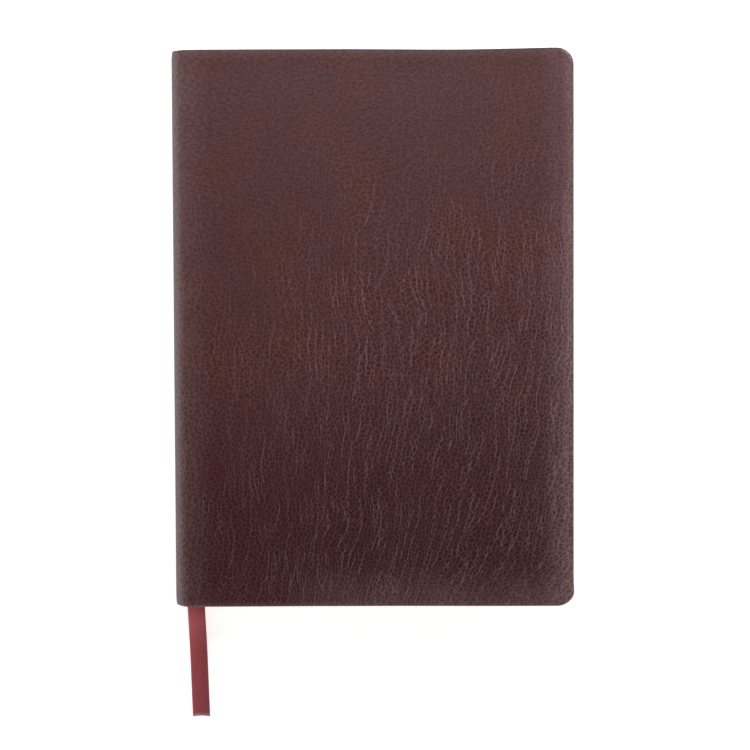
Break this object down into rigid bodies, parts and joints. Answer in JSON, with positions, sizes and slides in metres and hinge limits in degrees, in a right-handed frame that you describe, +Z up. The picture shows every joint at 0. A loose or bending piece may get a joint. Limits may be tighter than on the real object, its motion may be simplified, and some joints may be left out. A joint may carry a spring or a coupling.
{
  "type": "leather-bound journal",
  "caption": "Closed leather-bound A5 journal with rounded spine, sewn sections of writing paper, endpapers, head and tail bands and a ribbon marker; the covers and the pages open",
  "frame": {"origin": "middle of the back cover's outer face, on the surface that the closed journal lies on", "axes": "+Z up through the thickness, from back cover to front cover; +Y towards the head of the pages; the spine is on the -X side and the fore edge on the +X side"},
  "size_m": [0.155, 0.2622, 0.0181],
  "materials": {
    "leather": "pebbled full-grain leather, oxblood brown",
    "spine_leather": "pebbled full-grain leather, rubbed paler over the spine",
    "board": "grey-brown binder's board",
    "endpaper": "plain cream endpaper",
    "page": "ivory writing paper in folded sections",
    "lining": "open-weave cotton lining cloth",
    "band": "corded sewn band in wine red",
    "ribbon": "satin twill ribbon in wine red"
  },
  "bodies": {
    "back_cover": {"back_cover_leather": "leather", "back_cover_board": "board", "back_pastedown": "endpaper"},
    "back_flyleaf": {"back_flyleaf": "endpaper"},
    "back_pages": {"back_spine_leather": "spine_leather", "spine_lining": "lining", "headband": "band", "tailband": "band", "section_07": "page", "section_08": "page", "section_09": "page", "section_10": "page", "section_11": "page", "section_12": "page", "ribbon": "ribbon", "ribbon_tail": "ribbon"},
    "front_pages": {"front_spine_leather": "spine_leather", "section_01": "page", "section_02": "page", "section_03": "page", "section_04": "page", "section_05": "page", "section_06": "page"},
    "front_flyleaf": {"front_flyleaf": "endpaper"},
    "front_cover": {"front_cover_leather": "leather", "front_cover_board": "board", "front_pastedown": "endpaper"}
  },
  "joints": [
    {"name": "back_cover_opening", "type": "hinge", "parent": "back_cover", "child": "back_pages", "pos_m": [-0.07755, 0, 0], "axis": [0, -1, 0], "range_deg": [0, 55]},
    {"name": "ribbon_opening", "type": "hinge", "parent": "back_pages", "child": "front_pages", "pos_m": [-0.07755, 0, 0.00903], "axis": [0, -1, 0], "range_deg": [0, 180], "deforming": ["spine_lining", "headband", "tailband"]},
    {"name": "front_cover_opening", "type": "hinge", "parent": "front_pages", "child": "front_cover", "pos_m": [-0.07755, 0, 0.01805], "axis": [0, -1, 0], "range_deg": [0, 120]},
    {"name": "front_flyleaf_turn", "type": "hinge", "parent": "front_pages", "child": "front_flyleaf", "pos_m": [-0.0713, 0, 0.0154], "axis": [0, -1, 0], "range_deg": [0, 60]},
    {"name": "back_flyleaf_turn", "type": "hinge", "parent": "back_pages", "child": "back_flyleaf", "pos_m": [-0.0713, 0, 0.00265], "axis": [0, 1, 0], "range_deg": [0, 27.5]}
  ],
  "couplings": [
    {"joint": "front_flyleaf_turn", "follows": "front_cover_opening", "ratio": 0.5},
    {"joint": "back_flyleaf_turn", "follows": "back_cover_opening", "ratio": 0.5}
  ]
}
